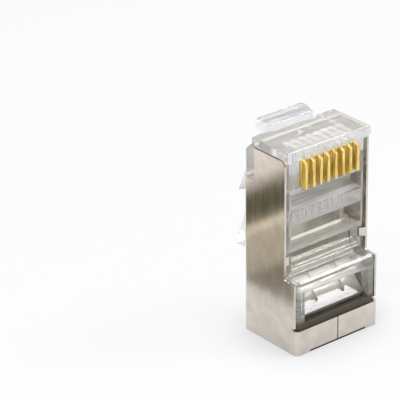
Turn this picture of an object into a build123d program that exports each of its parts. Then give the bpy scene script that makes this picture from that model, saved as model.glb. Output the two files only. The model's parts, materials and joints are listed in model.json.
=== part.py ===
from build123d import *
import os

# An eight-way modular plug with a folded metal shield, not yet crimped on a cable.
# It stands on its cable end: X runs along the row of contacts, Z from the cable end
# at z = 0 to the nose, and Y from the contact side to the latch side. All lengths are
# millimetres. A side profile is drawn on the plane of Y and Z, and its first number is
# the depth from the latch face: 0 on that face and negative towards the contacts.

# Shield, one folded sheet
sheet = 0.25
shield_width = 11.68
shield_depth = 8.60
plate_bend = 0.42
band_bend = 0.65
band_top = 2.90
wing_setback = 0.44
plate_lead = 0.05
upper_plate_back = 1.75
plate_corner = 0.55
seam = 0.12
bend_relief = 0.30
fold_bend = 0.42
fold_leg = 1.00
lip_reach = 1.56
lip_knee = 1.10
lip_inset_root = 0.99
lip_inset_knee = 1.69
lip_inset_tip = 2.54
flap_inset = 1.91
flap_reach = 2.24
tongue_inset = 3.14
tongue_height = 2.80
tongue_lean = 0.48
claw_rise = 1.15
claw_height = 1.00
claw_reach = 1.00
claw_bulge = 0.30
claw_lean = 0.12
claw_notch = 0.30

# Clearances
side_gap = 0.07
face_gap = 0.05
band_gap = 0.03
slide_gap = 0.05
hinge_gap = 0.03
end_gap = 0.14

# Housing, in depth from the latch face
contact_setback = 2.05
nose_lead = 0.44
face_chamfer = 0.39
nose_back = 1.20
nose_relief = 1.66
shoulder_inset = 0.14
cap_inset = 0.14
shoulder_round = 0.40
block_round = 0.50
nose_round = 0.25

# Housing, in steps from the cable end to the nose
housing_foot = 0.35
sill_rise = 0.70
window_height = 3.50
window_lintel = 1.47
block_slope = -0.04
bar_sill = 0.40
lower_pocket_height = 2.24
lower_rib = 0.80
middle_pocket_height = 2.38
middle_floor_slope = 0.20
upper_rib = 1.60
upper_pocket_height = 2.06
upper_floor_slope = 0.40
contact_ledge = 0.58
blade_height = 3.49
cap_drop = 0.26
cap_side_rise = 0.05
nose_cap = 1.01
slope_drop = 0.81
slope_height = 1.03
side_plate_drop = 1.09
latch_plate_drop = 4.79
step_drop = 0.36
step_rise = 0.20

# Walls beside and behind the pockets, window and cable cavity
pocket_wall = 0.65
window_wall = 1.02
cavity_wall = 0.92
cavity_latch_wall = 1.25
cavity_front_wall = 0.88
upper_pocket_wall = 0.10
throat_drop = 0.15
cavity_taper_drop = 0.55

# Conductor channels and contacts
ways = 8
pitch = 1.02
channel_setback = 2.15
channel_diameter = 0.90
channel_end = 0.12
blade = 0.35
blade_proud = 0.96
blade_bevel = 1.00
blade_bevel_drop = 0.58
prong_clear = 0.65
prong_length = 0.85
prongs = 3

# Latch
latch_half = 3.05
tongue_width = 3.24
latch_root_front = 0.90
latch_root_back = 1.30
latch_rise = 0.76
latch_round = 0.20
knee_rise = 0.05
shoulder_drop = 8.89
shoulder_rise = 4.25
shoulder_thick = 1.65
shoulder_rake = 0.40
neck_length = 1.10
neck_drop = 0.45
latch_reach = 6.36
finger_length = 7.70
tip_thick = 1.30
tip_round = 0.15
bead_radius = 0.40
bead_depth = 0.47
bead_rise = 0.16

# Cable clamp bar, a sloping bar in the window
clamp_thick = 0.90
clamp_pin_setback = 0.88
clamp_pin_rise = 0.26
clamp_pin_radius = 0.34
clamp_length = 3.30
clamp_groove_x = 1.90
clamp_groove_width = 0.80
clamp_groove_low = 0.80
clamp_groove_deep = 0.35

# Conductor clamp bar, a stepped bar in the lower pocket
bar_height = 1.10
bar_land_height = 0.80
bar_nose_length = 0.75
bar_nose_inset = 0.60
bar_step = 0.25

# Where the latch face stands, so that the whole plug is centred in Y on its foot
latch_face = (shield_depth - latch_reach) / 2

# Half widths
half = shield_width / 2
housing_half = half - sheet - side_gap
shoulder_half = half - shoulder_inset
cap_half = half - cap_inset
pocket_half = housing_half - pocket_wall
window_half = housing_half - window_wall
cavity_half = housing_half - cavity_wall

# Depths
wing_depth = shield_depth - wing_setback
contact_face = shield_depth - contact_setback
plate_depth = contact_face + plate_lead
nose_face = contact_face + nose_lead
channel_depth = contact_face - channel_setback
channel_front = channel_depth + channel_diameter / 2
block_front = shield_depth - sheet - band_gap
plate_side = sheet + face_gap
cavity_front = block_front - cavity_front_wall
claw_tip_depth = plate_depth - claw_lean - sheet / 2
throat_back = channel_depth - channel_diameter / 2 - slide_gap
throat_front = channel_front + 2 * slide_gap
upper_pocket_back = channel_front + upper_pocket_wall
middle_pocket_back = channel_depth - channel_diameter / 2
tongue_root_depth = shield_depth - flap_reach
tongue_tip_depth = tongue_root_depth - tongue_lean
blade_front = contact_face + blade_proud

# Heights, from the cable end up
window_sill = band_top + sill_rise
window_top = window_sill + window_height
block_top_front = window_top + window_lintel
block_top_back = block_top_front + block_slope
lower_pocket_floor = block_top_back + bar_sill
lower_pocket_roof = lower_pocket_floor + lower_pocket_height
middle_pocket_floor = lower_pocket_roof + lower_rib
middle_pocket_roof = middle_pocket_floor + middle_pocket_height
upper_pocket_floor = middle_pocket_roof + upper_rib
ledge_z = upper_pocket_floor + upper_pocket_height
blade_low = ledge_z + contact_ledge
blade_high = blade_low + blade_height
nose_height = blade_high + nose_cap
slope_high = nose_height - slope_drop
slope_low = slope_high - slope_height
side_plate_top = nose_height - side_plate_drop
latch_plate_top = nose_height - latch_plate_drop
cap_low = blade_high - cap_drop
cap_side_low = side_plate_top + cap_side_rise
throat_top = middle_pocket_floor + middle_floor_slope
step_front_z = block_top_front - step_drop
step_back_z = step_front_z + step_rise
claw_low = lower_pocket_floor + claw_rise
latch_top = nose_height + latch_rise
latch_knee_z = slope_low + knee_rise
shoulder_z = nose_height - shoulder_drop
neck_z = shoulder_z + neck_length
latch_tip_z = shoulder_z - finger_length

# Seats of the moving pieces
bead_z = slope_low + bead_depth * slope_height / nose_back + bead_rise
clamp_half = window_half - end_gap
clamp_pin_depth = block_front - clamp_pin_setback
clamp_pin_z = window_sill + clamp_pin_rise
bar_half = pocket_half - end_gap
bar_foot = lower_pocket_floor + slide_gap
bar_back = throat_front + end_gap
prong_tip = channel_depth + prong_clear
prong_root = prong_tip + prong_length


def side(x=0.0):
    """Plane of Y and Z with its origin on the latch face."""
    return Plane(origin=(x, latch_face, 0), x_dir=(0, 1, 0), z_dir=(1, 0, 0))


def plan(z=0.0):
    """Plane of X and Y at a height, with its origin on the latch face."""
    return Plane(origin=(0, latch_face, z))


# Rear flaps: each band half folds over the cable end, then runs in as a tongue
with BuildPart() as flaps:
    flap_half = half - flap_inset
    tongue_half = half - tongue_inset
    with BuildSketch(side()):
        with BuildLine():
            FilletPolyline(
                (-shield_depth + sheet / 2, fold_leg),
                (-shield_depth + sheet / 2, sheet / 2),
                (-tongue_root_depth, sheet / 2),
                (-tongue_tip_depth, tongue_height),
                radius=fold_bend - sheet / 2,
            )
        trace(line_width=sheet)
    extrude(amount=flap_half, both=True)
    with BuildSketch(plan(-sheet)):
        with BuildLine():
            Polyline(
                (-flap_half, -shield_depth - sheet),
                (-flap_half, -shield_depth + fold_bend),
                (-tongue_half, -tongue_root_depth - sheet),
                (-tongue_half, -tongue_tip_depth + sheet),
                (tongue_half, -tongue_tip_depth + sheet),
                (tongue_half, -tongue_root_depth - sheet),
                (flap_half, -shield_depth + fold_bend),
                (flap_half, -shield_depth - sheet),
                close=True,
            )
        make_face()
    extrude(amount=tongue_height + 2 * sheet, mode=Mode.INTERSECT)

# Rear lip: the latch plate folds over the other long side of the cable end
with BuildPart() as lip:
    lip_half = half - lip_inset_root
    knee_half = half - lip_inset_knee
    tip_half = half - lip_inset_tip
    with BuildSketch(side()):
        with BuildLine():
            FilletPolyline(
                (-sheet / 2, fold_leg),
                (-sheet / 2, sheet / 2),
                (-lip_reach, sheet / 2),
                radius=fold_bend - sheet / 2,
            )
        trace(line_width=sheet)
    extrude(amount=lip_half, both=True)
    with BuildSketch(plan(-sheet)):
        with BuildLine():
            Polyline(
                (-lip_half, sheet),
                (-lip_half, -fold_bend),
                (-knee_half, -lip_knee),
                (-tip_half, -lip_reach),
                (tip_half, -lip_reach),
                (knee_half, -lip_knee),
                (lip_half, -fold_bend),
                (lip_half, sheet),
                close=True,
            )
        make_face()
    extrude(amount=fold_leg + 2 * sheet, mode=Mode.INTERSECT)

with BuildPart() as shield:
    # Latch plate and two side plates, bent as a channel
    with BuildSketch(plan()):
        with BuildLine():
            FilletPolyline(
                (-half + sheet / 2, -wing_depth),
                (-half + sheet / 2, -sheet / 2),
                (half - sheet / 2, -sheet / 2),
                (half - sheet / 2, -wing_depth),
                radius=plate_bend - sheet / 2,
            )
        trace(line_width=sheet)
    extrude(amount=side_plate_top)
    # The latch plate ends below the shoulder, and the side plates are set back there
    with BuildSketch(side()) as plate_cut:
        with BuildLine():
            Polyline(
                (sheet, latch_plate_top),
                (-upper_plate_back, latch_plate_top),
                (-upper_plate_back, nose_height),
                (sheet, nose_height),
                close=True,
            )
        make_face()
    extrude(amount=shield_width, both=True, mode=Mode.SUBTRACT)
    # Front edge of the side plates: wing by the window, step, then the long edge
    with BuildSketch(side()):
        with BuildLine():
            Polyline(
                (-shield_depth, step_front_z),
                (-wing_depth, step_front_z),
                (-plate_depth, step_back_z),
                (-plate_depth, side_plate_top - plate_corner),
                (-plate_depth + plate_corner, side_plate_top),
                (-plate_depth + plate_corner, nose_height),
                (-shield_depth, nose_height),
                close=True,
            )
        make_face()
    extrude(amount=shield_width, both=True, mode=Mode.SUBTRACT)
    # Band round the cable end
    with BuildSketch(plan()):
        with BuildLine():
            FilletPolyline(
                (-half + sheet / 2, -plate_depth),
                (-half + sheet / 2, -shield_depth + sheet / 2),
                (half - sheet / 2, -shield_depth + sheet / 2),
                (half - sheet / 2, -plate_depth),
                radius=band_bend - sheet / 2,
            )
        trace(line_width=sheet)
    extrude(amount=band_top)
    # Relief slots where the band's bends start
    with BuildSketch(side()):
        with Locations((-wing_depth, band_top + bend_relief / 2)):
            Rectangle(2 * bend_relief, bend_relief)
    extrude(amount=shield_width, both=True, mode=Mode.SUBTRACT)
    # Room for the lip's fold, then the folded pieces themselves
    with BuildSketch(side()):
        with Locations((-sheet / 2, fold_bend / 2)):
            Rectangle(3 * sheet, fold_bend)
    extrude(amount=lip_half, both=True, mode=Mode.SUBTRACT)
    with BuildSketch(side()):
        with Locations((-shield_depth + sheet / 2, fold_bend / 2)):
            Rectangle(3 * sheet, fold_bend)
    extrude(amount=flap_half, both=True, mode=Mode.SUBTRACT)
    add(lip.part)
    add(flaps.part)
    # Seam where the two halves of the band meet
    with BuildSketch(plan()):
        with Locations((0, -shield_depth)):
            Rectangle(seam, 2 * (shield_depth - tongue_tip_depth + 2 * sheet))
    extrude(amount=band_top + sheet, mode=Mode.SUBTRACT)
    # Claws folded past square over the contact side
    claw_depth = plate_depth + claw_bulge - sheet / 2
    with BuildSketch(plan(claw_low)):
        with BuildLine():
            FilletPolyline(
                (half - sheet / 2, -plate_depth + 2 * sheet),
                (half - sheet / 2, -claw_depth),
                (half - claw_reach, -claw_tip_depth),
                radius=fold_bend - sheet / 2,
            )
        trace(line_width=sheet)
        mirror(about=Plane.YZ)
    extrude(amount=claw_height)
shield.part.label = "shield"

with BuildPart() as housing:
    # Body: the side profile with block, contact face and nose
    with BuildSketch(side()):
        with BuildLine():
            Polyline(
                (-plate_side, housing_foot),
                (-plate_side, nose_height),
                (-nose_face, nose_height),
                (-nose_face, cap_low),
                (-contact_face, cap_low),
                (-contact_face, block_top_back),
                (-block_front, block_top_front),
                (-block_front, housing_foot),
                close=True,
            )
        make_face()
    extrude(amount=housing_half, both=True)
    fillet(housing.edges().filter_by(Axis.Z).group_by(Axis.Y)[-1], shoulder_round)
    fillet(housing.edges().filter_by(Axis.Z).group_by(Axis.Y)[0], block_round)
    face_y = latch_face - contact_face
    upright = housing.edges().filter_by(Axis.Z)
    chamfer(upright.filter_by_position(Axis.Y, face_y - slide_gap, face_y + slide_gap), face_chamfer)
    # Shoulder above the latch plate, nearly as wide as the shield
    with BuildSketch(plan(latch_plate_top + face_gap)) as shoulder:
        with Locations((0, -upper_plate_back / 2)):
            Rectangle(2 * shoulder_half, upper_plate_back - 2 * face_gap)
        with Locations((0, -shoulder_round / 2)):
            Rectangle(2 * shoulder_half, shoulder_round)
        fillet(shoulder.vertices().group_by(Axis.Y)[-1], shoulder_round)
    extrude(amount=slope_high - latch_plate_top - face_gap)
    # Sides of the cap, which stand out over the top edges of the side plates
    with BuildSketch(plan(cap_side_low)):
        with Locations((0, -nose_face / 2)):
            Rectangle(2 * cap_half, nose_face)
    extrude(amount=nose_height - cap_side_low)
    # Slope from the shoulder to the back of the nose
    with BuildSketch(side()):
        with BuildLine():
            Polyline(
                (sheet, slope_low - sheet),
                (0, slope_low),
                (-nose_back, slope_high),
                (-nose_back, nose_height + sheet),
                (sheet, nose_height + sheet),
                close=True,
            )
        make_face()
    extrude(amount=shield_width, both=True, mode=Mode.SUBTRACT)
    top = housing.faces().filter_by(Axis.Z).sort_by(Axis.Z)[-1]
    fillet(top.edges(), nose_round)
    # Relief behind the nose and groove in the slope, where the latch springs from
    with BuildSketch(side()):
        with BuildLine():
            Polyline(
                (-nose_relief, slope_high + sheet),
                (-nose_relief, nose_height + sheet),
                (0, nose_height + sheet),
                (0, slope_high - sheet),
                close=True,
            )
        make_face()
    extrude(amount=latch_half + 2 * face_gap, both=True, mode=Mode.SUBTRACT)
    with BuildSketch(side()):
        with Locations((-bead_depth, bead_z)):
            Circle(bead_radius + hinge_gap)
    extrude(amount=latch_half + 2 * face_gap, both=True, mode=Mode.SUBTRACT)
    # Cable cavity, narrowing to a throat as thick as a conductor
    with BuildSketch(side()):
        with BuildLine():
            Polyline(
                (-cavity_latch_wall, 0),
                (-cavity_latch_wall, lower_pocket_floor - cavity_taper_drop),
                (-throat_back, lower_pocket_roof - sheet),
                (-throat_back, throat_top),
                (-throat_front, throat_top),
                (-throat_front, lower_pocket_floor - throat_drop),
                (-throat_front - bar_nose_length, window_top),
                (-cavity_front, window_top),
                (-cavity_front, 0),
                close=True,
            )
        make_face()
    extrude(amount=cavity_half, both=True, mode=Mode.SUBTRACT)
    # Clamp window through the front wall of the block
    with BuildSketch(side()):
        with BuildLine():
            Polyline(
                (-block_front - sheet, window_sill),
                (-block_front - sheet, window_top),
                (-cavity_front + sheet, window_top),
                (-cavity_front + sheet, window_sill),
                close=True,
            )
        make_face()
    extrude(amount=window_half, both=True, mode=Mode.SUBTRACT)
    with BuildSketch(side()):
        with Locations((-clamp_pin_depth, clamp_pin_z)):
            Circle(clamp_pin_radius + hinge_gap)
    extrude(amount=window_half, both=True, mode=Mode.SUBTRACT)
    # Pockets across the contact side, each with its roof, depth, floor and the floor's slope
    for roof, depth, floor, slope in (
        (ledge_z, upper_pocket_back, upper_pocket_floor, upper_floor_slope),
        (middle_pocket_roof, middle_pocket_back, middle_pocket_floor, middle_floor_slope),
        (lower_pocket_roof, throat_front, lower_pocket_floor, 0),
    ):
        with BuildSketch(side()):
            with BuildLine():
                Polyline(
                    (-nose_face - sheet, roof),
                    (-depth, roof),
                    (-depth, floor + slope),
                    (-contact_face, floor),
                    (-nose_face - sheet, floor),
                    close=True,
                )
            make_face()
        extrude(amount=pocket_half, both=True, mode=Mode.SUBTRACT)
    # Notches in both side walls, which the claws are folded into
    with BuildSketch(side()):
        with BuildLine():
            Polyline(
                (-nose_face, claw_low - slide_gap),
                (-claw_tip_depth + sheet, claw_low - slide_gap),
                (-claw_tip_depth + sheet, claw_low + claw_height + claw_notch),
                (-nose_face, claw_low + claw_height + claw_notch),
                close=True,
            )
        make_face()
    extrude(amount=shield_width, both=True, mode=Mode.SUBTRACT)
    # Conductor channels, blind in the nose, and a slot for each contact
    with BuildSketch(plan(middle_pocket_roof - sheet)):
        with Locations((0, -channel_depth)):
            with GridLocations(pitch, 1, ways, 1):
                Circle(channel_diameter / 2)
    extrude(amount=blade_high + channel_end - middle_pocket_roof + sheet, mode=Mode.SUBTRACT)
    slot_low = blade_low - 2 * slide_gap
    slot_high = blade_high + 2 * slide_gap
    with BuildSketch(plan(slot_low)):
        with Locations((0, -(nose_face + channel_depth) / 2)):
            with GridLocations(pitch, 1, ways, 1):
                Rectangle(blade + 2 * slide_gap, nose_face - channel_depth)
    extrude(amount=slot_high - slot_low, mode=Mode.SUBTRACT)
housing.part.label = "housing"

with BuildPart() as locking_tab:
    # Root block and wide arm with the locking shoulders
    arm_slope = (shoulder_rise - latch_root_back) / (latch_knee_z - shoulder_z)
    shoulder_foot = shoulder_z + shoulder_rake * shoulder_thick
    with BuildSketch(side()) as arm:
        with BuildLine():
            Polyline(
                (-latch_root_front, bead_z + bead_radius),
                (-latch_root_front, latch_top - bead_radius),
                (latch_root_back - bead_radius, latch_top),
                (latch_root_back, latch_top - bead_radius),
                (latch_root_back, latch_knee_z),
                (shoulder_rise, shoulder_z),
                (shoulder_rise - shoulder_thick, shoulder_foot),
                (latch_root_back - bead_radius, latch_knee_z - sheet),
                (-bead_depth + bead_radius / 2, bead_z - bead_radius / 2),
                (-bead_depth - bead_radius / 2, bead_z + bead_radius / 2),
                close=True,
            )
        make_face()
        fillet(arm.vertices().filter_by_position(Axis.Y, latch_knee_z, latch_top, (False, True)), latch_round)
    extrude(amount=latch_half, both=True)
    with BuildSketch(side()):
        with Locations((-bead_depth, bead_z)):
            Circle(bead_radius)
    extrude(amount=latch_half, both=True)
    # Finger tongue, narrower and set back from the face of the arm
    neck_face = latch_root_back + (latch_knee_z - neck_z) * arm_slope - neck_drop
    with BuildSketch(side()) as tongue:
        with BuildLine():
            Polyline(
                (neck_face, neck_z),
                (latch_reach, latch_tip_z),
                (latch_reach - tip_thick, latch_tip_z),
                (shoulder_rise - shoulder_thick, shoulder_foot),
                (neck_face - neck_drop, neck_z),
                close=True,
            )
        make_face()
        fillet(tongue.vertices().group_by(Axis.Y)[0].sort_by(Axis.X)[0], tip_round)
    extrude(amount=tongue_width / 2, both=True)
locking_tab.part.label = "locking_tab"

# Cable clamp bar: slopes inwards from its pin on the window sill
with BuildPart() as cable_clamp_bar:
    pin_centre = (0, latch_face - clamp_pin_depth, clamp_pin_z)
    with BuildSketch(Plane(origin=pin_centre, x_dir=(0, 1, 1), z_dir=(1, 0, 0))):
        with Locations((clamp_length / 2, 0)):
            Rectangle(clamp_length, clamp_thick)
        Circle(clamp_pin_radius)
    extrude(amount=clamp_half, both=True)
    # Two grooves run down its outer face and end round
    outer_face = Plane(origin=pin_centre, x_dir=(1, 0, 0), z_dir=(0, -1, 1)).offset(clamp_thick / 2)
    with BuildSketch(outer_face):
        with Locations((-clamp_groove_x, clamp_length), (clamp_groove_x, clamp_length)):
            SlotOverall(2 * (clamp_length - clamp_groove_low), clamp_groove_width, rotation=90)
    extrude(amount=-clamp_groove_deep, mode=Mode.SUBTRACT)
cable_clamp_bar.part.label = "cable_clamp_bar"

# Conductor clamp bar: three steps in front, a flat land behind, a nose that slides in
with BuildPart() as conductor_clamp_bar:
    with BuildSketch(side()):
        with BuildLine():
            Polyline(
                (-contact_face, bar_foot),
                (-contact_face, bar_foot + bar_step),
                (-contact_face + bar_step, bar_foot + bar_step),
                (-contact_face + bar_step, bar_foot + 2 * bar_step),
                (-contact_face + 2 * bar_step, bar_foot + 2 * bar_step),
                (-contact_face + 2 * bar_step, bar_foot + bar_height),
                (-contact_face + 3 * bar_step, bar_foot + bar_height),
                (-contact_face + 3 * bar_step, bar_foot + bar_land_height),
                (-bar_back, bar_foot + bar_land_height),
                (-bar_back, bar_foot),
                close=True,
            )
        make_face()
    extrude(amount=bar_half, both=True)
    with BuildSketch(plan(bar_foot)):
        with Locations((0, -bar_back)):
            with GridLocations(2 * bar_half, 1, 2, 1):
                Rectangle(2 * bar_nose_inset, 2 * bar_nose_length)
    extrude(amount=bar_height, mode=Mode.SUBTRACT)
conductor_clamp_bar.part.label = "conductor_clamp_bar"

# Contact blade, sharpened behind into prongs that pierce the conductor
with BuildPart() as contact:
    with BuildSketch(side()) as outline:
        with BuildLine():
            Polyline(
                (-blade_front, blade_low),
                (-blade_front, blade_high - blade_bevel_drop),
                (-blade_front + blade_bevel, blade_high),
                (-prong_root, blade_high),
                (-prong_root, blade_low),
                close=True,
            )
        make_face()
        prong = blade_height / prongs
        for index in range(prongs):
            base = blade_low + index * prong
            with BuildLine():
                Polyline(
                    (-prong_root, base),
                    (-prong_tip, base + prong / 2),
                    (-prong_root, base + prong),
                    close=True,
                )
            make_face()
    extrude(amount=blade / 2, both=True)

contacts = []
for index in range(ways):
    piece = contact.part.moved(Location(((index - (ways - 1) / 2) * pitch, 0, 0)))
    piece.label = f"contact_{index + 1}"
    contacts.append(piece)

os.makedirs("parts", exist_ok=True)
for piece in (
    shield.part,
    housing.part,
    locking_tab.part,
    cable_clamp_bar.part,
    conductor_clamp_bar.part,
    *contacts,
):
    export_step(piece, f"parts/{piece.label}.step")
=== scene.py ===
# %% [markdown]
# # A shielded modular plug
# A plug for network cable stands on its cable end. It has a clear moulded body, a folded
# metal shield with a bright nickel plate and eight gold-plated contact blades. The solid
# model comes ready-made and gives every piece its place and size. This lesson gives each
# piece its soft edges and its finish, and sets up a small white studio.

# %% Load the model
import json
import math

import bmesh
import bpy
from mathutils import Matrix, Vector

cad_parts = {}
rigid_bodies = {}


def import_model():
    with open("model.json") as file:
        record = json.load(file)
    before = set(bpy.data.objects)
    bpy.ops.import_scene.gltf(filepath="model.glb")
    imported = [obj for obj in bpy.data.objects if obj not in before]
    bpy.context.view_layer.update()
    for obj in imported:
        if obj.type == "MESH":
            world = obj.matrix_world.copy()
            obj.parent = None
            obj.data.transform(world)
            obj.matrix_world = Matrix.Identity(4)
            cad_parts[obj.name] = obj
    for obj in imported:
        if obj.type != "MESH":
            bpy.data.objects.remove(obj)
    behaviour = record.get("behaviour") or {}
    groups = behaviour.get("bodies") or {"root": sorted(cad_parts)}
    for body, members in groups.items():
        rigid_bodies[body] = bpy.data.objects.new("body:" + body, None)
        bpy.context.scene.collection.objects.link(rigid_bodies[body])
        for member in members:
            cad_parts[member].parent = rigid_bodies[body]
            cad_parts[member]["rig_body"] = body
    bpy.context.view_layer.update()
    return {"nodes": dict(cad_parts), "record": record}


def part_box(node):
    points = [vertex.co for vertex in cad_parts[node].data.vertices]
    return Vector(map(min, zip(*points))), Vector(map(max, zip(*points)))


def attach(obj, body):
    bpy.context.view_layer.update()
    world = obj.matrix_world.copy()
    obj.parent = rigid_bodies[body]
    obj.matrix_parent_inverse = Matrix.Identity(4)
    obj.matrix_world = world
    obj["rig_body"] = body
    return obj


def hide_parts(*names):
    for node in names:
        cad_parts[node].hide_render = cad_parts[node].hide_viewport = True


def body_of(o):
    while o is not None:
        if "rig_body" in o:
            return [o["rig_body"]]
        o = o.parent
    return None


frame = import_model()
nodes = frame["nodes"]
MM = 0.001
print("pieces:", ", ".join(sorted(nodes)))

# %% [markdown]
# ## Colours and nodes
# A colour is read off a sample as an sRGB hex value, but the shader works in linear light,
# so one function turns the one into the other. A second one empties the node tree of a
# material or of the world, and a third adds a node, sets its values and links its inputs,
# which keeps each material short enough to read.

# %% Colour and node helpers
def colour(hex_value):
    """Linear colour with alpha 1 of an sRGB hex value such as 'C8C0B4'."""
    channels = [int(hex_value[i:i + 2], 16) / 255 for i in (0, 2, 4)]
    linear = [c / 12.92 if c <= 0.04045 else ((c + 0.055) / 1.055) ** 2.4 for c in channels]
    return (*linear, 1.0)


def new_tree(owner):
    """The node tree of a material or world, turned on and emptied."""
    owner.use_nodes = True
    owner.node_tree.nodes.clear()
    return owner.node_tree


def add_node(tree, kind, settings=None, inputs=None, stops=()):
    """Adds a node with its settings and links.

    inputs maps a socket's name or number to a value or to another node's output, and stops
    gives a colour ramp its pairs of a position and an sRGB hex value, the lowest first.
    """
    node = tree.nodes.new("ShaderNode" + kind)
    for name, value in (settings or {}).items():
        setattr(node, name, value)
    for name, value in (inputs or {}).items():
        if isinstance(value, bpy.types.NodeSocket):
            tree.links.new(value, node.inputs[name])
        else:
            node.inputs[name].default_value = value
    for index, (position, hex_value) in enumerate(stops):
        elements = node.color_ramp.elements
        stop = elements[index] if index < 2 else elements.new(position)
        stop.position = position
        stop.color = colour(hex_value)
    return node


print("mid grey 808080 is", round(colour("808080")[0], 3), "in linear light")

# %% [markdown]
# ## Nickel-plated sheet
# The shield is stamped and folded from thin bronze or steel sheet, and its nickel plate is
# bright, so it mostly shows what stands round it. It isn't a perfect mirror: the rolled
# sheet keeps a fine grain that runs along the plug and a slight waviness, and handling
# leaves it uneven. An anisotropic shader could draw the grain out, but it shows no single
# lines. So the grain is a noise pattern stretched along Z. It moves the roughness a little
# and bends the normals, which draws reflections out into soft streaks.

# %% Nickel plate
GRAIN_WIDTH = 0.12 * MM      # real rolling grain is near 0.02 mm wide, coarser here to show
GRAIN_LENGTH = 6.0 * MM      # its lines run along the plug
GRAIN_DEPTH = 0.02 * MM      # real grain is near 0.002 mm deep, deeper here with its width
WAVE_LENGTH = 2.5 * MM       # the waviness that folding leaves, at its real length
WAVE_DEPTH = 0.06 * MM       # real waves are near 0.01 mm deep, deeper here to show
STAIN_LENGTH = 1.6 * MM      # patches that handling leaves, at their real size
NOISE_RANGE = {"From Min": 0.3, "From Max": 0.7}     # a noise rarely leaves it


def nickel_plate():
    """Bright warm metal: sharp edges of light, reflections softened by the rolling grain."""
    material = bpy.data.materials.new("nickel_plated_sheet")
    tree = new_tree(material)
    place = add_node(tree, "TexCoord").outputs["Object"]
    stretched = add_node(tree, "Mapping", inputs={
        "Vector": place, "Scale": (1 / GRAIN_WIDTH, 1 / GRAIN_WIDTH, 1 / GRAIN_LENGTH)})
    grain = add_node(tree, "TexNoise", inputs={
        "Vector": stretched.outputs[0], "Scale": 1.0, "Detail": 3.0})
    wave = add_node(tree, "TexNoise", inputs={
        "Vector": place, "Scale": 1 / WAVE_LENGTH, "Detail": 1.0})
    stain = add_node(tree, "TexNoise", inputs={
        "Vector": place, "Scale": 1 / STAIN_LENGTH, "Detail": 4.0})
    tint = add_node(tree, "ValToRGB", inputs={"Fac": stain.outputs["Fac"]},
                    stops=((0.35, "CEC7BD"), (0.65, "DAD3C9")))
    rough = add_node(tree, "MapRange", inputs={
        "Value": grain.outputs["Fac"], **NOISE_RANGE, "To Min": 0.13, "To Max": 0.24})
    fine = add_node(tree, "Bump", inputs={
        "Height": grain.outputs["Fac"], "Strength": 0.12, "Distance": GRAIN_DEPTH})
    waves = add_node(tree, "Bump", inputs={
        "Height": wave.outputs["Fac"], "Strength": 0.25, "Distance": WAVE_DEPTH,
        "Normal": fine.outputs[0]})
    shader = add_node(tree, "BsdfPrincipled", inputs={
        "Base Color": tint.outputs["Color"], "Metallic": 1.0,
        "Roughness": rough.outputs["Result"], "Normal": waves.outputs[0]})
    add_node(tree, "OutputMaterial", inputs={"Surface": shader.outputs[0]})
    return material


nickel = nickel_plate()
print("material:", nickel.name)

# %% [markdown]
# ## Sheared edge
# Shears cut through the plate, so the sheet's edge shows bare metal, duller and darker than
# its faces. A darker tint all over would dull the shield, and a dirt mask would darken its
# bends as well. So the edge gets a material of its own, with a noise for its torn grain
# that moves colour and roughness together. It goes only where an edge shows dark, so its
# darkness is also painted shade.

# %% Sheared edge
TEAR_WIDTH = 0.15 * MM       # a real torn grain is near 0.03 mm wide, coarser here to show


def sheared_edge_and_shade():
    """Dull dark metal of a bare edge, also painted shade that outlines the top of the bright plates.
    """
    material = bpy.data.materials.new("sheared_sheet_edge_and_shade")
    tree = new_tree(material)
    place = add_node(tree, "TexCoord").outputs["Object"]
    tear = add_node(tree, "TexNoise", inputs={
        "Vector": place, "Scale": 1 / TEAR_WIDTH, "Detail": 2.0})
    tint = add_node(tree, "ValToRGB", inputs={"Fac": tear.outputs["Fac"]},
                    stops=((0.35, "6C6055"), (0.65, "887C70")))
    rough = add_node(tree, "MapRange", inputs={
        "Value": tear.outputs["Fac"], **NOISE_RANGE, "To Min": 0.42, "To Max": 0.58})
    shader = add_node(tree, "BsdfPrincipled", inputs={
        "Base Color": tint.outputs["Color"], "Metallic": 1.0,
        "Roughness": rough.outputs["Result"]})
    add_node(tree, "OutputMaterial", inputs={"Surface": shader.outputs[0]})
    return material


bare_edge_and_shade = sheared_edge_and_shade()
print("material:", bare_edge_and_shade.name)

# %% [markdown]
# ## Clear polycarbonate
# The housing, latch and clamp bars are injection-moulded polycarbonate, clear but not
# optically clean: flow lines scatter a little light, so thick places look light grey and
# every edge is bright. Glass alone would look like a lens, and a see-through surface would
# lose the bent light at the edges. So most of the light goes through and is bent, and a
# share is scattered, as by a pale, milky surface. For shadow rays the plastic turns
# transparent, so that lamps light the pieces inside it.

# %% Clear polycarbonate
FLOW_LENGTH = 1.5 * MM       # flow lines stand about as far apart as two walls are thick
FLOW_DEPTH = 0.05 * MM       # real ones are near 0.01 mm deep, deeper here to show
MARK_WIDTH = 0.35 * MM       # real tool marks are near 0.05 mm wide, coarser here to show
MARK_LENGTH = 7.0 * MM       # they run across the plug
PLASTIC_IOR = 1.52           # a little under the real 1.585, so that thick places stay light
POLISHED = 0.05              # roughness that a polished mould leaves
TEXTURED = 0.30              # roughness that a textured mould leaves


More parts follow.
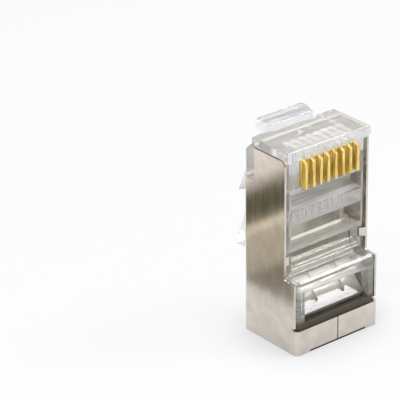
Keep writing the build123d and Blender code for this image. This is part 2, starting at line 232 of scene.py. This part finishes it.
def moulded_polycarbonate(name, scatter, tint, roughness=POLISHED, marks=None, foot=None, haze=None):
    """Clear plastic: bright edges and light grey depths, milkier with more scatter.

    marks is the colour of tool marks. foot is a darker colour painted as shade at the foot, and the
    heights between which it fades out. haze is another scatter and the heights between which it comes
    in.
    """
    material = bpy.data.materials.new(name)
    tree = new_tree(material)
    place = add_node(tree, "TexCoord").outputs["Object"]
    flow = add_node(tree, "TexNoise", inputs={
        "Vector": place, "Scale": 1 / FLOW_LENGTH, "Detail": 2.0})
    bump = add_node(tree, "Bump", inputs={
        "Height": flow.outputs["Fac"], "Strength": 0.3, "Distance": FLOW_DEPTH})
    height = add_node(tree, "SeparateXYZ", inputs={0: place}).outputs["Z"] if foot or haze else None
    base, clear = colour(tint), 1 - scatter
    if marks:
        across = add_node(tree, "Mapping", inputs={
            "Vector": place, "Scale": (1 / MARK_LENGTH, 1 / MARK_WIDTH, 1 / MARK_WIDTH)})
        lines = add_node(tree, "TexNoise", inputs={
            "Vector": across.outputs[0], "Scale": 1.0, "Detail": 3.0})
        base = add_node(tree, "ValToRGB", inputs={"Fac": lines.outputs["Fac"]},
                        stops=((0.38, marks), (0.58, tint))).outputs["Color"]
    # The darker foot colour is painted shade, where the shield's lip shades the plastic.
    if foot:
        foot_shade_colour, low, high = foot
        rise = add_node(tree, "MapRange", inputs={
            "Value": height, "From Min": low, "From Max": high})
        base = add_node(tree, "MixRGB", inputs={
            "Fac": rise.outputs["Result"], "Color1": colour(foot_shade_colour),
            "Color2": base}).outputs["Color"]
    if haze:
        haze_scatter, low, high = haze
        clear = add_node(tree, "MapRange", inputs={
            "Value": height, "From Min": low, "From Max": high,
            "To Min": clear, "To Max": 1 - haze_scatter}).outputs["Result"]
    shader = add_node(tree, "BsdfPrincipled", inputs={
        "Base Color": base, "Roughness": roughness, "IOR": PLASTIC_IOR,
        "Transmission Weight": clear, "Normal": bump.outputs[0]})
    through = add_node(tree, "BsdfTransparent", inputs={"Color": colour(tint)})
    path = add_node(tree, "LightPath")
    mix = add_node(tree, "MixShader", inputs={
        0: path.outputs["Is Shadow Ray"], 1: shader.outputs[0], 2: through.outputs[0]})
    add_node(tree, "OutputMaterial", inputs={"Surface": mix.outputs[0]})
    return material


polycarbonate = moulded_polycarbonate("clear_polycarbonate", 0.14, "F4F2ED")
print("material:", polycarbonate.name)

# %% [markdown]
# ## One plastic, several skins
# The same plastic looks different from place to place. The upper pocket comes off textured
# steel, the nose and latch off less well polished steel. The block has tool marks, and the
# foot of the block and of the clamp bar is painted darker, as painted shade from the shield's
# lip. The cavity's walls turn milky above the window. Each place could be a plastic of its
# own, but one function with a few more values keeps them plainly the same plastic.

# %% Skins of the plastic
# The feet of the block and of the clamp bar are painted darker: painted shade from the shield's lip.
BLOCK_FOOT_SHADE = ("645A3E", 3.5 * MM, 4.1 * MM)     # colour at the foot, and where it fades out
CLAMP_FOOT_SHADE = ("3A3220", 3.8 * MM, 5.8 * MM)
CAVITY_HAZE = (0.64, 6.0 * MM, 6.8 * MM)        # scatter above, and where it comes in

pocket_skin = moulded_polycarbonate("textured_polycarbonate", 0.46, "FDFBF8", TEXTURED, marks="C4C2BE")
hazy_skin = moulded_polycarbonate("hazy_polycarbonate", 0.22, "FBFCFD")
top_skin = moulded_polycarbonate("milky_polycarbonate", 0.32, "FFFDF8")
block_skin = moulded_polycarbonate(
    "block_polycarbonate", 0.24, "FAF9F6", marks="CCCAC6", foot=BLOCK_FOOT_SHADE)
clamp_skin = moulded_polycarbonate("clamp_polycarbonate", 0.40, "FFFDF8", foot=CLAMP_FOOT_SHADE)
cavity_skin = moulded_polycarbonate("cavity_polycarbonate", 0.14, "F4F2ED", haze=CAVITY_HAZE)
skins = (pocket_skin, hazy_skin, top_skin, block_skin, clamp_skin, cavity_skin)
print("skins:", ", ".join(skin.name for skin in skins))

# %% [markdown]
# ## Gold-plated contacts
# Each blade is stamped from phosphor bronze and plated with hard gold. Stamping draws fine
# streaks down its faces, some deep yellow and some pale. An even gold looks like paint, so
# a noise stretched along Z moves the colour, the roughness and the normals together.
# Metallic is under 1, because the satin plate also scatters some light of its own colour
# and stays yellow where it mirrors only the dim inside of the nose.

# %% Gold plate
STREAK_WIDTH = 0.08 * MM     # real streaks are near 0.02 mm wide, coarser here to show
STREAK_LENGTH = 2.5 * MM     # most of a blade's height
STREAK_DEPTH = 0.02 * MM     # real ones are near 0.002 mm deep, deeper here with their width


def gold_plate():
    """Deep warm yellow, satin on the faces and bright where an edge catches the light."""
    material = bpy.data.materials.new("gold_plated_bronze")
    tree = new_tree(material)
    place = add_node(tree, "TexCoord").outputs["Object"]
    stretched = add_node(tree, "Mapping", inputs={
        "Vector": place, "Scale": (1 / STREAK_WIDTH, 1 / STREAK_WIDTH, 1 / STREAK_LENGTH)})
    streaks = add_node(tree, "TexNoise", inputs={
        "Vector": stretched.outputs[0], "Scale": 1.0, "Detail": 2.0})
    contrast = add_node(tree, "MapRange", inputs={
        "Value": streaks.outputs["Fac"], "From Min": 0.38, "From Max": 0.62})
    tint = add_node(tree, "MixRGB", inputs={
        "Fac": contrast.outputs["Result"], "Color1": colour("D89C0C"), "Color2": colour("FFF09A")})
    rough = add_node(tree, "MapRange", inputs={
        "Value": streaks.outputs["Fac"], **NOISE_RANGE, "To Min": 0.18, "To Max": 0.34})
    bump = add_node(tree, "Bump", inputs={
        "Height": streaks.outputs["Fac"], "Strength": 0.1, "Distance": STREAK_DEPTH})
    shader = add_node(tree, "BsdfPrincipled", inputs={
        "Base Color": tint.outputs["Color"], "Metallic": 0.62,
        "Roughness": rough.outputs["Result"], "Normal": bump.outputs[0]})
    add_node(tree, "OutputMaterial", inputs={"Surface": shader.outputs[0]})
    return material


gold = gold_plate()
print("material:", gold.name)

# %% [markdown]
# ## Which edges are round
# The solid model has knife-sharp edges, and no real moulding or stamping has. An edge shows
# as a line of light only where it is rounded. A Bevel modifier could round every edge by
# its angle, but that ruins short edges and puts lines where the real plug has none. So each
# edge gets a weight: none where it is smooth, hollow or tiny, and on the housing only on
# the rims of the pockets and the block, which are the ones that catch the light.

# %% Edge weights
EDGE_ROUND = {"plated_sheet": 0.05 * MM, "clear_plastic": 0.28 * MM, "gold_contact": 0.04 * MM}
EDGE_STEPS = {"plated_sheet": 2, "clear_plastic": 1, "gold_contact": 1}
SHORTEST_EDGE = {"plated_sheet": 0.2 * MM, "clear_plastic": 0.9 * MM, "gold_contact": 0.2 * MM}
EDGE_ANGLE = math.radians(40)
TURNED = 0.5                 # a face looks a way when its normal has more than this in it
UPRIGHT = 0.2                # a face stands upright when its normal has less than this in Z
bar_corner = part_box("conductor_clamp_bar")[0]     # lowest corner, flush with the contact face
BLOCK_LEVEL = bar_corner.z - 0.18 * MM            # the block's rim is below it, the pockets' above
SILL_LEVEL = 8.0 * MM                             # nothing is rounded lower down, at the window,
SILL_DEPTH = bar_corner.y + 0.43 * MM             # nor farther back than this
BLOCK_SHARE = 0.85                                # of the full round, on the block's rim
SILL_SHARE = 0.36                                 # and on the pockets' rims


def edge_weight(edge, node_name, slot_name):
    """Share of the full bevel that an edge gets."""
    if len(edge.link_faces) != 2 or edge.calc_face_angle() < EDGE_ANGLE or not edge.is_convex:
        return 0.0
    long_enough = edge.calc_length() > SHORTEST_EDGE[slot_name]
    if node_name != "housing":
        return 1.0 if long_enough else 0.0
    rises = [face.normal.z for face in edge.link_faces]
    middle = (edge.verts[0].co + edge.verts[1].co) / 2
    rim = max(rises) > TURNED and min(abs(rise) for rise in rises) < UPRIGHT
    if not rim or middle.y > SILL_DEPTH or middle.z < SILL_LEVEL:
        return 0.0
    if middle.z < BLOCK_LEVEL:
        return BLOCK_SHARE
    return SILL_SHARE if long_enough else 0.0


print("full round:", {slot: round(size / MM, 2) for slot, size in EDGE_ROUND.items()}, "mm")

# %% [markdown]
# ## Softening a piece
# A piece of the solid model is a fixed thing made of loose triangles, so it can't be
# bevelled itself. Each finished piece is a copy: its triangles are merged, its flat faces
# joined and its weighted edges bevelled. The bevel can leave an edge of no length, so the
# copy is merged once more. Weighted normals then keep the flat faces flat up to the rounds.

# %% Soften a piece
MERGE_DISTANCE = 0.0005 * MM
FLAT_ANGLE = math.radians(1)
SMOOTH_ANGLE = math.radians(25)
FACE_WEIGHT = 100            # the largest face at a corner decides its normal


def merge(join_flat):
    """Merges the active piece's doubled points, and joins its flat faces if it is told to."""
    bpy.ops.object.mode_set(mode="EDIT")
    bpy.ops.mesh.select_all(action="SELECT")
    bpy.ops.mesh.remove_doubles(threshold=MERGE_DISTANCE)
    if join_flat:
        bpy.ops.mesh.dissolve_limited(angle_limit=FLAT_ANGLE)
    bpy.ops.object.mode_set(mode="OBJECT")


def weigh_edges(piece, node_name, slot_name):
    """Gives each edge its bevel weight and returns how many will be rounded."""
    mesh = bmesh.new()
    mesh.from_mesh(piece.data)
    weight = mesh.edges.layers.float.new("bevel_weight_edge")
    rounded = 0
    for edge in mesh.edges:
        edge[weight] = edge_weight(edge, node_name, slot_name)
        rounded += edge[weight] > 0
    mesh.to_mesh(piece.data)
    mesh.free()
    return rounded


def soften(node_name, slot_name):
    """A copy of a node with its edges rounded."""
    node = nodes[node_name]
    bpy.ops.object.select_all(action="DESELECT")
    piece = node.copy()
    piece.data = node.data.copy()
    piece.name = node_name + "_finished"
    bpy.context.collection.objects.link(piece)
    bpy.context.view_layer.objects.active = piece
    piece.select_set(True)
    bpy.ops.mesh.customdata_custom_splitnormals_clear()
    merge(join_flat=True)
    rounded = weigh_edges(piece, node_name, slot_name)
    bevel = piece.modifiers.new("edge_round", "BEVEL")
    bevel.width = EDGE_ROUND[slot_name]
    bevel.segments = EDGE_STEPS[slot_name]
    bevel.limit_method = "WEIGHT"
    bevel.use_clamp_overlap = node_name != "housing"     # its shortest edges would stop them all
    bpy.ops.object.modifier_apply(modifier=bevel.name)
    merge(join_flat=False)
    bpy.ops.object.shade_smooth_by_angle(angle=SMOOTH_ANGLE)
    flatten = piece.modifiers.new("flat_faces", "WEIGHTED_NORMAL")
    flatten.keep_sharp = True
    flatten.weight = FACE_WEIGHT
    bpy.ops.object.modifier_apply(modifier=flatten.name)
    print(node_name, "edges rounded:", rounded, "faces:", len(piece.data.polygons))
    return piece


print("doubles are merged within", MERGE_DISTANCE / MM, "mm")

# %% [markdown]
# ## The thirteen pieces
# Each copy rides on the moving body of its node, takes the node's place and gets the finish
# that the record names. The latch and the sloping clamp bar get a hazier skin of the same
# plastic, as they are thinner and less well polished than the housing.

# %% Finish the pieces
SLOT_FINISH = {"plated_sheet": nickel, "clear_plastic": polycarbonate, "gold_contact": gold}
PIECE_FINISH = {"locking_tab": hazy_skin, "cable_clamp_bar": clamp_skin}

pieces = {}
for part in frame["record"]["subparts"]:
    name, slot_name = part["node"], part["material_slot"]
    piece = soften(name, slot_name)
    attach(piece, body_of(nodes[name])[0])
    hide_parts(name)
    for slot in piece.material_slots:
        slot.material = PIECE_FINISH.get(name, SLOT_FINISH[slot_name])
    pieces[name] = piece
print("finished pieces:", len(pieces))

# %% [markdown]
# ## Skins on the housing
# The housing is one moulding, but its mould wasn't finished alike all over. A mask painted
# on it would need its own map, and cutting it up would show seams inside clear plastic. The
# places are whole faces, so they are found by their place and normal and take a material
# slot of their own.

# %% Face helper and upper pocket
def finish_faces(piece, skin, chosen):
    """Gives the faces that chosen(centre, normal) picks a material slot of their own."""
    piece.data.materials.append(skin)
    faces = [face for face in piece.data.polygons if chosen(face.center, face.normal)]
    for face in faces:
        face.material_index = len(piece.data.materials) - 1
    print(skin.name, "faces:", len(faces))


housing = pieces["housing"]
blade_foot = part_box("contact_1")[0].z
CONTACT_FACE = bar_corner.y + 0.08 * MM       # just inside the face that holds the contacts
POCKET_TOP = blade_foot + 0.11 * MM
POCKET_FOOT = 15.6 * MM                       # under the lowest point of its sloping floor
POCKET_BACK = -2.0 * MM                       # behind its back wall
POCKET_HALF = 4.9 * MM                        # half its width, with a little to spare
SIDEWAYS = math.cos(math.radians(45))         # a side wall's normal has more than this in X


def in_upper_pocket(centre, normal):
    """The floor, roof and back wall of the pocket under the blades."""
    inside = POCKET_FOOT < centre.z < POCKET_TOP and CONTACT_FACE < centre.y < POCKET_BACK
    return inside and abs(centre.x) < POCKET_HALF and abs(normal.x) < SIDEWAYS and normal.y <= TURNED


finish_faces(housing, pocket_skin, in_upper_pocket)

# %% [markdown]
# ## Nose
# The nose is the thickest part of the moulding, so it looks hazier than the rest, and its
# flat top looks milky in the light from above. Haze inside the plastic would be truer, but
# it renders slowly and dulls the blades, so the nose's own faces scatter more light.

# %% Nose and its top
NOSE_LEVEL = blade_foot + 0.21 * MM
TOP_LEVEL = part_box("housing")[1].z - 0.3 * MM

finish_faces(housing, hazy_skin, lambda centre, normal: centre.z > NOSE_LEVEL)
finish_faces(housing, top_skin, lambda centre, normal: centre.z > TOP_LEVEL and normal.z > TURNED)

# %% [markdown]
# ## Block and cable cavity
# The block stands out from the contact face round the clamp window, and faint tool marks
# run across it. Bump alone hardly shows on clear plastic, so the marks are drawn in its
# colour. The cavity behind the window holds the cable. Its walls are clear at the window
# and turn milky above it, where they show through the gap over the lower clamp bar.

# %% Block and cable cavity
BLOCK_FACE = CONTACT_FACE - 0.9 * MM          # the block stands out farther than this
CAVITY_TOP = 12.0 * MM                        # above the gap over the clamp bar
CAVITY_BACK = (-0.3 * MM, 0.1 * MM)           # depth of the wall on the latch side
CAVITY_FRONT = -4.9 * MM                      # the side walls start behind it
CAVITY_SIDE = (4.5 * MM, 4.95 * MM)           # distance of the side walls from the middle


def on_block(centre, normal):
    """The block that stands out round the clamp window."""
    return centre.z < BLOCK_LEVEL and centre.y < BLOCK_FACE


def in_cavity(centre, normal):
    """The cavity's back wall and side walls, as they show through the window and the gap."""
    back = normal.y < -TURNED and CAVITY_BACK[0] < centre.y < CAVITY_BACK[1]
    inwards = abs(normal.x) > TURNED and normal.x * centre.x < 0
    side = inwards and CAVITY_SIDE[0] < abs(centre.x) < CAVITY_SIDE[1] and centre.y > CAVITY_FRONT
    return centre.z < CAVITY_TOP and (back or side)


finish_faces(housing, block_skin, on_block)
finish_faces(housing, cavity_skin, in_cavity)

# %% [markdown]
# ## The shield's top edge
# The bare edge's dark metal goes only on the edges at the top of the plates, which show
# dark against the clear nose, so there it is also painted shade. The latch plate's edge lies
# lower and catches the light, so a height keeps it out, and the steeper rounds at the edges'
# sides keep their plate.

# %% Top edge of the plates
shield_low, shield_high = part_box("shield")
PLATE_TOP_LEVEL = shield_high.z - 1.0 * MM
UPWARD = 0.6                 # the rounds' steeper faces have less than this in Z

# Dark bare metal on the plates' top edges only: real bare edge and painted shade.
finish_faces(pieces["shield"], bare_edge_and_shade,
             lambda centre, normal: centre.z > PLATE_TOP_LEVEL and normal.z > UPWARD)

# %% [markdown]
# ## Floor
# The floor is plain and pale. A matt floor alone turns grey under soft light, and a glowing
# one alone loses the shadow. So to camera rays, and to rays that come through the plastic
# or off the metal, it mostly glows white, with painted shade close round the plug where less
# of the sky reaches it, and the rest is a matt white that keeps the soft shadow.

# %% Floor
FLOOR_SIZE = 3.0             # metres, so that its edge is far out of every view
FLOOR_GLOW = 0.80            # share of the glow in what the eye sees
CONTACT_REACH = 5.0 * MM     # the floor is shaded up to here from the plug
CONTACT_POWER = 0.6          # under 1, so that the shade stays close to the plug


def seen_rays(tree):
    """1 for rays from the camera, through plastic or off metal, 0 for those that only light."""
    path = add_node(tree, "LightPath")
    straight = add_node(tree, "Math", {"operation": "MAXIMUM"}, {
        0: path.outputs["Is Camera Ray"], 1: path.outputs["Is Transmission Ray"]})
    seen = add_node(tree, "Math", {"operation": "MAXIMUM"}, {
        0: straight.outputs[0], 1: path.outputs["Is Glossy Ray"]})
    return seen.outputs[0]


def matt_white_floor():
    """Plain white paper that seems to light itself, with painted soft shade round the plug's foot."""
    material = bpy.data.materials.new("matt_white_floor")
    tree = new_tree(material)
    near = add_node(tree, "AmbientOcclusion", {"samples": 8}, {"Distance": CONTACT_REACH})
    open_sky = add_node(tree, "Math", {"operation": "POWER"}, {
        0: near.outputs["AO"], 1: CONTACT_POWER})
    # The grey that the glow turns to near the plug is painted shade.
    shaded = add_node(tree, "MixRGB", inputs={
        "Fac": open_sky.outputs[0], "Color1": colour("8E9096"), "Color2": colour("FFFFFF")})
    glow = add_node(tree, "Emission", inputs={"Color": shaded.outputs["Color"], "Strength": 1.0})
    matt = add_node(tree, "BsdfDiffuse", inputs={"Color": colour("E6E8EC")})
    amount = add_node(tree, "Math", {"operation": "MULTIPLY"}, {0: seen_rays(tree), 1: FLOOR_GLOW})
    mix = add_node(tree, "MixShader", inputs={
        0: amount.outputs[0], 1: matt.outputs[0], 2: glow.outputs[0]})
    add_node(tree, "OutputMaterial", inputs={"Surface": mix.outputs[0]})
    return material


def studio_plane(name, width, depth, place, material):
    """A flat rectangle of the studio, which isn't part of the plug."""
    bpy.ops.object.select_all(action="DESELECT")
    bpy.ops.mesh.primitive_plane_add(size=1.0, location=place)
    plane = bpy.context.object
    plane.name = name
    plane.dimensions = (width, depth, 0)
    plane.data.materials.append(material)
    return plane


floor = studio_plane("floor", FLOOR_SIZE, FLOOR_SIZE, (0, 0, 0), matt_white_floor())
print("floor glow:", FLOOR_GLOW)

# %% [markdown]
# ## Patch under the plug
# A cable cavity over a glowing floor would shine like a lamp, but a real one is dim inside.
# The floor could be cut open there. A small dark patch just above it is simpler: it is painted
# shade over what the plug stands on, and stays a little inside its outline so that no view shows it.

# %% Matt patch
PATCH_INSET_SIDE = 0.65 * MM
PATCH_INSET = 0.08 * MM
PATCH_LIFT = 0.002 * MM      # just clear of the floor, so that the two don't mix


def painted_shade_patch():
    """Dull dark paper, painted shade under the plug, that gives no light back to its inside."""
    material = bpy.data.materials.new("painted_shade_patch")
    tree = new_tree(material)
    # This dark colour is painted shade for the floor under the plug.
    matt = add_node(tree, "BsdfDiffuse", inputs={"Color": colour("4A473E")})
    add_node(tree, "OutputMaterial", inputs={"Surface": matt.outputs[0]})
    return material


patch_width = shield_high.x - shield_low.x - 2 * PATCH_INSET_SIDE
patch_depth = shield_high.y - shield_low.y - 2 * PATCH_INSET
patch_place = (0, (shield_low.y + shield_high.y) / 2, PATCH_LIFT)
patch = studio_plane("painted_shade_patch", patch_width, patch_depth, patch_place, painted_shade_patch())
print("patch:", round(patch_width / MM, 2), "x", round(patch_depth / MM, 2), "mm")

# %% [markdown]
# ## Card beside the plug
# Bright metal is only as lively as what it mirrors, and in a white studio it turns white. A
# product photographer sets up cards round it, and so does this scene: a card with broad
# tilted bands stands beside the left side plate. It glows evenly, and only reflections see
# it, so it neither lights the plug nor shows through the plastic.

# %% Card
CARD_DISTANCE = 13.0 * MM
CARD_HEIGHT = 17.0 * MM
CARD_LENGTH = 16.0 * MM
CARD_DEPTH = 8.5 * MM        # the middle of its length, towards the latch
CARD_TILT = 0.62             # how far the bands fall along the card, in card heights
CARD_GLOW = 1.12             # a little over white, as nickel takes some light away
CARD_BANDS = (                                                  # height on the card and colour
    (0.000, "8A8478"), (0.040, "8A8478"),                       # dark foot
    (0.100, "BEB7A9"), (0.360, "C4BEB0"),                       # khaki band
    (0.385, "FFFAEA"), (0.420, "FFF4DC"),                       # light streak
    (0.435, "77735E"), (0.500, "5E5B48"), (0.640, "605D4A"),    # dark olive band
    (0.770, "F6F0EC"), (1.000, "FFFCFA"))                       # pale top


def banded_card():
    """Painted bands with soft borders, as wide as the streaks that they leave on the nickel."""
    material = bpy.data.materials.new("banded_card")
    tree = new_tree(material)
    place = add_node(tree, "TexCoord").outputs["UV"]
    across = add_node(tree, "SeparateXYZ", inputs={0: place})
    centred = add_node(tree, "Math", {"operation": "SUBTRACT"}, {0: across.outputs["X"], 1: 0.5})
    tilted = add_node(tree, "Math", {"operation": "MULTIPLY_ADD"}, {
        0: centred.outputs[0], 1: CARD_TILT, 2: across.outputs["Y"]})
    bands = add_node(tree, "ValToRGB", inputs={"Fac": tilted.outputs[0]}, stops=CARD_BANDS)
    paint = add_node(tree, "Emission", inputs={
        "Color": bands.outputs["Color"], "Strength": CARD_GLOW})
    add_node(tree, "OutputMaterial", inputs={"Surface": paint.outputs[0]})
    return material


card_place = (-CARD_DISTANCE, CARD_DEPTH, CARD_HEIGHT / 2)
card = studio_plane("banded_card", CARD_LENGTH, CARD_HEIGHT, card_place, banded_card())
card.rotation_euler = (math.pi / 2, 0, math.pi / 2)
card.visible_camera = False
card.visible_diffuse = False
card.visible_transmission = False
card.visible_shadow = False
print("card bands:", len(CARD_BANDS))

# %% [markdown]
# ## Studio light
# The plug stands in a white sweep under soft light. A world alone lights it from all sides
# and leaves it flat, and lamps alone leave black reflections. So an even world gives most
# of the light and is white where it is seen, a large soft lamp stands high on the left, and
# a smaller one on the right draws light edges.

# %% World
WORLD_STRENGTH = 0.68        # with the lamps, a colour renders about as it is written

world = bpy.data.worlds.new("white_studio")
bpy.context.scene.world = world
tree = new_tree(world)
light = add_node(tree, "Background", inputs={
    "Color": colour("FFFFFF"), "Strength": WORLD_STRENGTH})
white = add_node(tree, "Background", inputs={"Color": colour("FFFFFF"), "Strength": 1.0})
mix = add_node(tree, "MixShader", inputs={
    0: seen_rays(tree), 1: light.outputs[0], 2: white.outputs[0]})
add_node(tree, "OutputWorld", inputs={"Surface": mix.outputs[0]})
print("world strength:", WORLD_STRENGTH)

# %% [markdown]
# ## Lamps
# A point lamp throws hard shadows, so both lamps are squares of a softbox's kind. Light in
# clear plastic is mostly what is seen through it: the large lamp there would burn out the
# nose, so rays through the plastic pass it by, and the small one draws the bright edges.

# %% Lamps
def soft_lamp(name, place, target, size, watts, through_plastic):
    """A square area lamp that points from its place to a target, all in millimetres.

    through_plastic says whether the lamp itself is seen through the plastic.
    """
    bpy.ops.object.select_all(action="DESELECT")
    bpy.ops.object.light_add(type="AREA", location=Vector(place) * MM)
    lamp = bpy.context.object
    lamp.name = name
    lamp.data.size = size * MM
    lamp.data.energy = watts
    lamp.visible_transmission = through_plastic
    lamp.rotation_euler = (Vector(place) - Vector(target)).to_track_quat("Z", "Y").to_euler()
    print(name, "watts:", watts)


soft_lamp("key_lamp", (-160, -60, 260), (0, 0, 10), 160, 0.30, through_plastic=False)
soft_lamp("edge_lamp", (168, -126, 222), (0, 0, 6), 90, 0.30, through_plastic=True)

# %% [markdown]
# ## Camera
# The camera looks down on the contact side and the left side plate. A short lens would have
# to come so close to such a small thing that it splays, so the camera stands 26 cm off with
# a long lens, which keeps the perspective mild.

# %% Camera
LENS = 214.32                # millimetres
SENSOR = 36                  # millimetres
CLIP_START = 10 * MM
CAMERA_PLACE = Vector((-150.11, -173.20, 125.06)) * MM
CAMERA_TURN = [math.radians(angle) for angle in (64.144, 0.755, -38.808)]    # about X, Y and Z

camera_data = bpy.data.cameras.new("camera")
camera_data.lens = LENS
camera_data.sensor_width = SENSOR
camera_data.clip_start = CLIP_START
camera = bpy.data.objects.new("camera", camera_data)
camera.location = CAMERA_PLACE
camera.rotation_euler = CAMERA_TURN
bpy.context.collection.objects.link(camera)
bpy.context.scene.camera = camera
bpy.context.scene.view_settings.view_transform = "Standard"
print("camera:", LENS, "mm lens,", round(CAMERA_PLACE.length / MM), "mm from the plug's foot")
